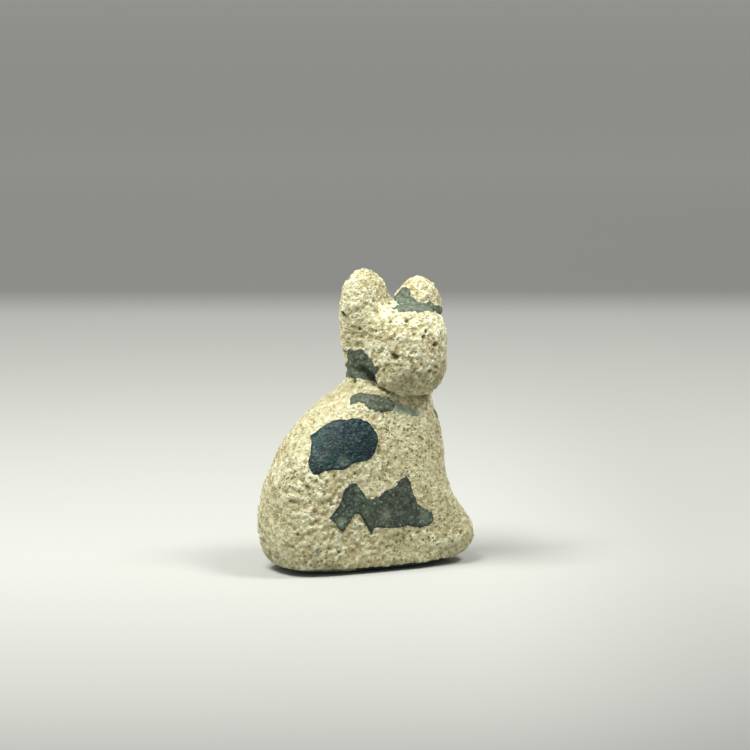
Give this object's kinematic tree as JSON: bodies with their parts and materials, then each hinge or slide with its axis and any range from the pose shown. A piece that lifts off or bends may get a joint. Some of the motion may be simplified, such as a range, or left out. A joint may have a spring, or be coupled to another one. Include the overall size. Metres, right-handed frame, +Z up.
{
  "type": "cat amulet",
  "caption": "Small solid figure of a seated cat with its head turned to its right, in porous cream paste with remains of dark blue glaze, standing on a flat underside.",
  "frame": {"origin": "on the flat underside, under the middle of the body", "axes": "+Z up, +X towards the forefeet, +Y to the cat's left; the face looks to its right, nearly along -Y"},
  "size_m": [0.0111, 0.0056, 0.015],
  "materials": {
    "glazed_paste": "matte, porous quartz paste with worn remains of glossy dark blue glaze"
  },
  "bodies": {
    "root": {"cat_figure": "glazed_paste"}
  },
  "joints": []
}
